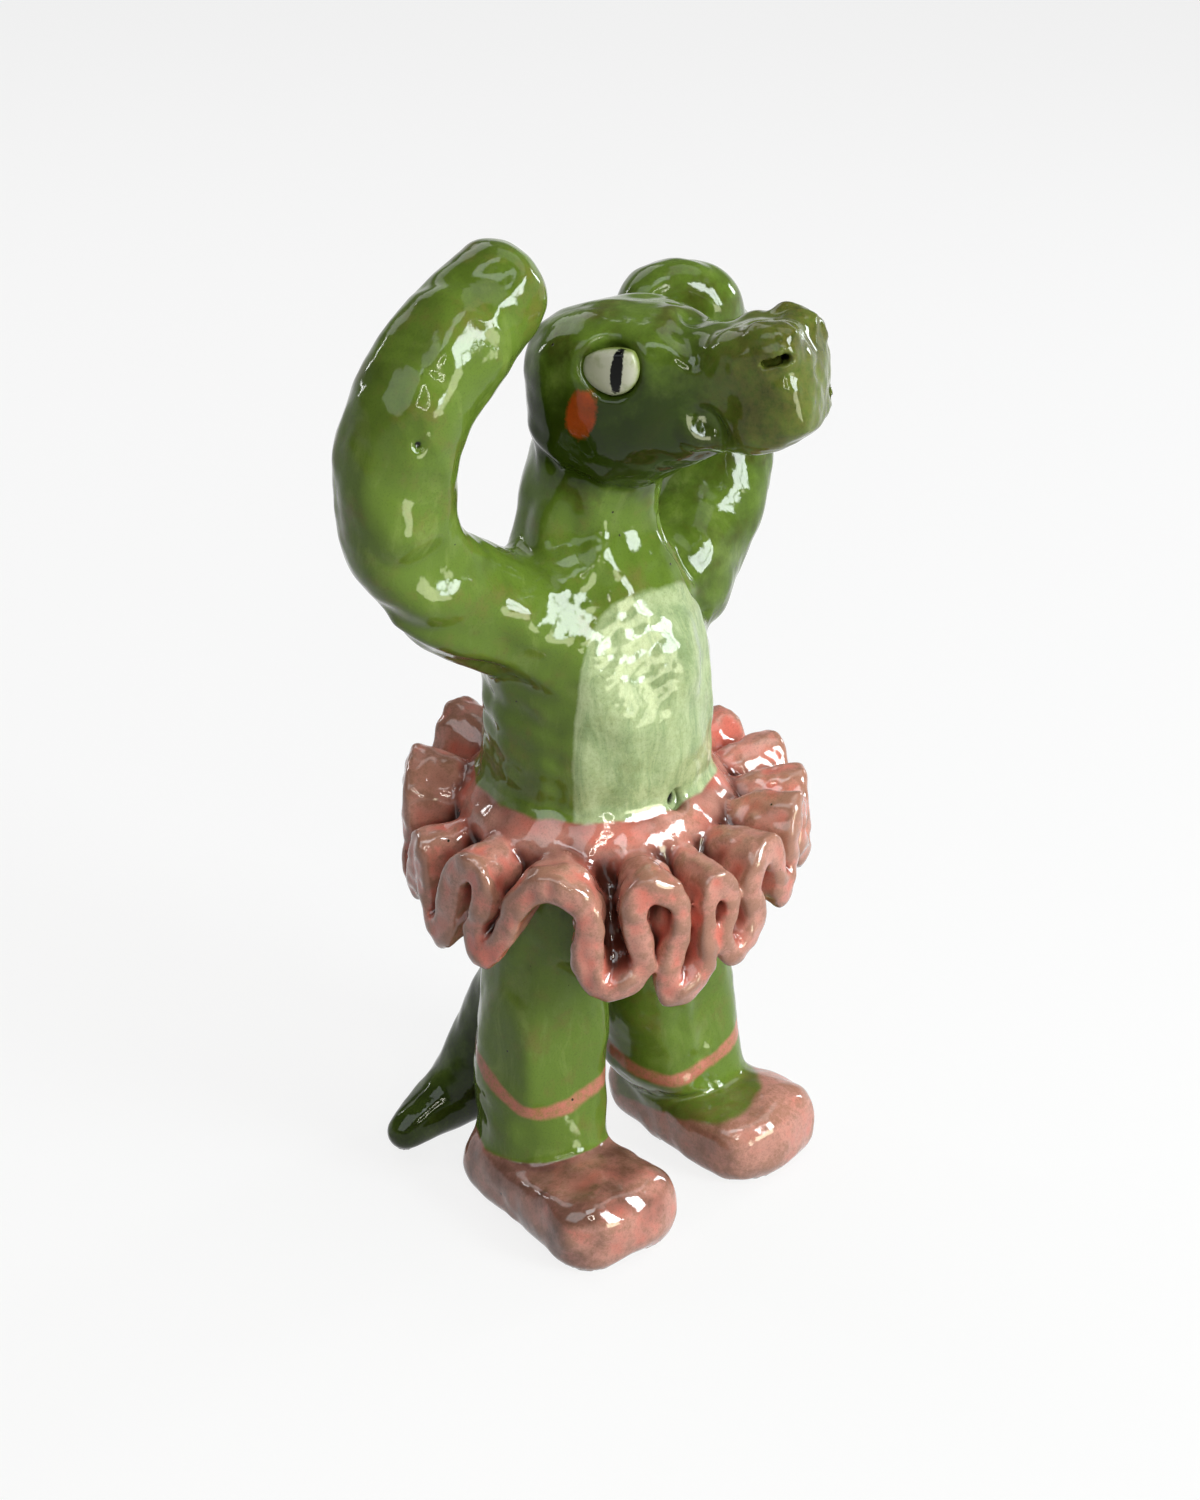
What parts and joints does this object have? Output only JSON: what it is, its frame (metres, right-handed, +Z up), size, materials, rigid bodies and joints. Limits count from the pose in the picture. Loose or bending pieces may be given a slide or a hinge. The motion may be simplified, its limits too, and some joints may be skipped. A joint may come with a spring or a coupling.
{
  "type": "crocodile figurine",
  "caption": "Glazed clay crocodile figurine in a ruffled tutu and clogs, arms raised beside a turned head, standing on its soles and the tip of its tail.",
  "frame": {"origin": "on the ground under the middle of the figure's overall box", "axes": "+Z up, the figure faces -Y, its left side is +X"},
  "size_m": [0.0936, 0.0718, 0.1732],
  "materials": {
    "green_glaze": "clear gloss glaze over brushed green, with pinholes",
    "pink_glaze": "clear gloss glaze over coral pink, brown where it breaks on edges",
    "white_glaze": "clear gloss glaze over white slip"
  },
  "bodies": {
    "root": {"torso": "green_glaze", "hip_base": "green_glaze", "head": "green_glaze", "snout": "green_glaze", "right_eye": "white_glaze", "left_eye": "white_glaze", "right_arm": "green_glaze", "left_arm": "green_glaze", "waistband": "pink_glaze", "ruffle": "pink_glaze", "right_leg": "green_glaze", "left_leg": "green_glaze", "right_shoe": "pink_glaze", "left_shoe": "pink_glaze", "tail": "green_glaze"}
  },
  "joints": []
}
